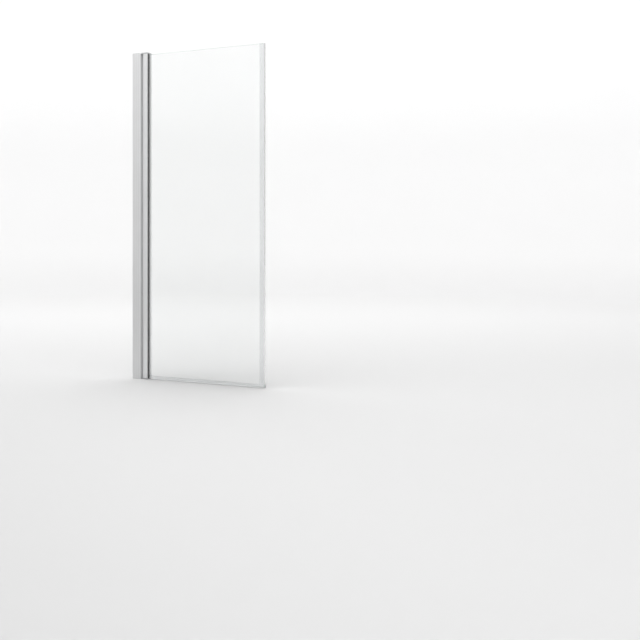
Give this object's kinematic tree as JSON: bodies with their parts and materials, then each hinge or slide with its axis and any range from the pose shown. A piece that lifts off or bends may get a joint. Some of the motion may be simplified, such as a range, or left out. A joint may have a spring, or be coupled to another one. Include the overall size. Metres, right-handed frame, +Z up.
{
  "type": "hinged bath screen",
  "caption": "Frameless glass bath screen on an aluminium wall profile, with a full-height pivot so that the pane swings in over the bath or out into the room.",
  "frame": {"origin": "on the wall face, on the middle plane of the closed pane, at the height of the bath rim", "axes": "+X along the screen from the wall to the free edge, +Y across the pane towards the inside of the bath, +Z up"},
  "size_m": [0.685, 0.038, 1.5],
  "materials": {
    "satin_aluminium": "satin silver anodised extrusion",
    "stainless_steel": "plain stainless steel",
    "cast_metal": "powder coated zinc casting",
    "grey_plastic": "fine matt moulded plastic, silver grey",
    "white_plastic": "natural white acetal",
    "black_rubber": "matt charcoal black extruded rubber",
    "grey_rubber": "matt mid grey extruded rubber",
    "pale_foam": "matt pale grey closed foam",
    "clear_glass": "clear toughened glass with polished edges, faint green",
    "clear_vinyl": "clear soft extruded plastic"
  },
  "bodies": {
    "wall_set": {"wall_channel": "satin_aluminium", "hinge_post": "satin_aluminium", "hinge_seal": "grey_rubber", "fixing_screws": "stainless_steel", "screw_caps": "grey_plastic", "lower_bracket": "cast_metal", "upper_bracket": "cast_metal", "bracket_screws": "stainless_steel", "pivot_pins": "stainless_steel", "thrust_washer": "white_plastic", "top_cover": "grey_plastic", "base_cover": "grey_plastic"},
    "leaf": {"clamp_profile": "satin_aluminium", "lower_clamp_plug": "grey_plastic", "upper_clamp_plug": "grey_plastic", "lower_bush": "white_plastic", "upper_bush": "white_plastic", "plug_screws": "stainless_steel", "glass_pane": "clear_glass", "glazing_gasket": "black_rubber", "bedding_tape": "pale_foam", "setting_blocks": "pale_foam", "free_edge_seal": "clear_vinyl", "drip_seal": "clear_vinyl"}
  },
  "joints": [
    {"name": "leaf_swing", "type": "hinge", "parent": "wall_set", "child": "leaf", "pos_m": [0.066, 0, 0.75], "axis": [0, 0, 1], "range_deg": [-90, 90]}
  ]
}
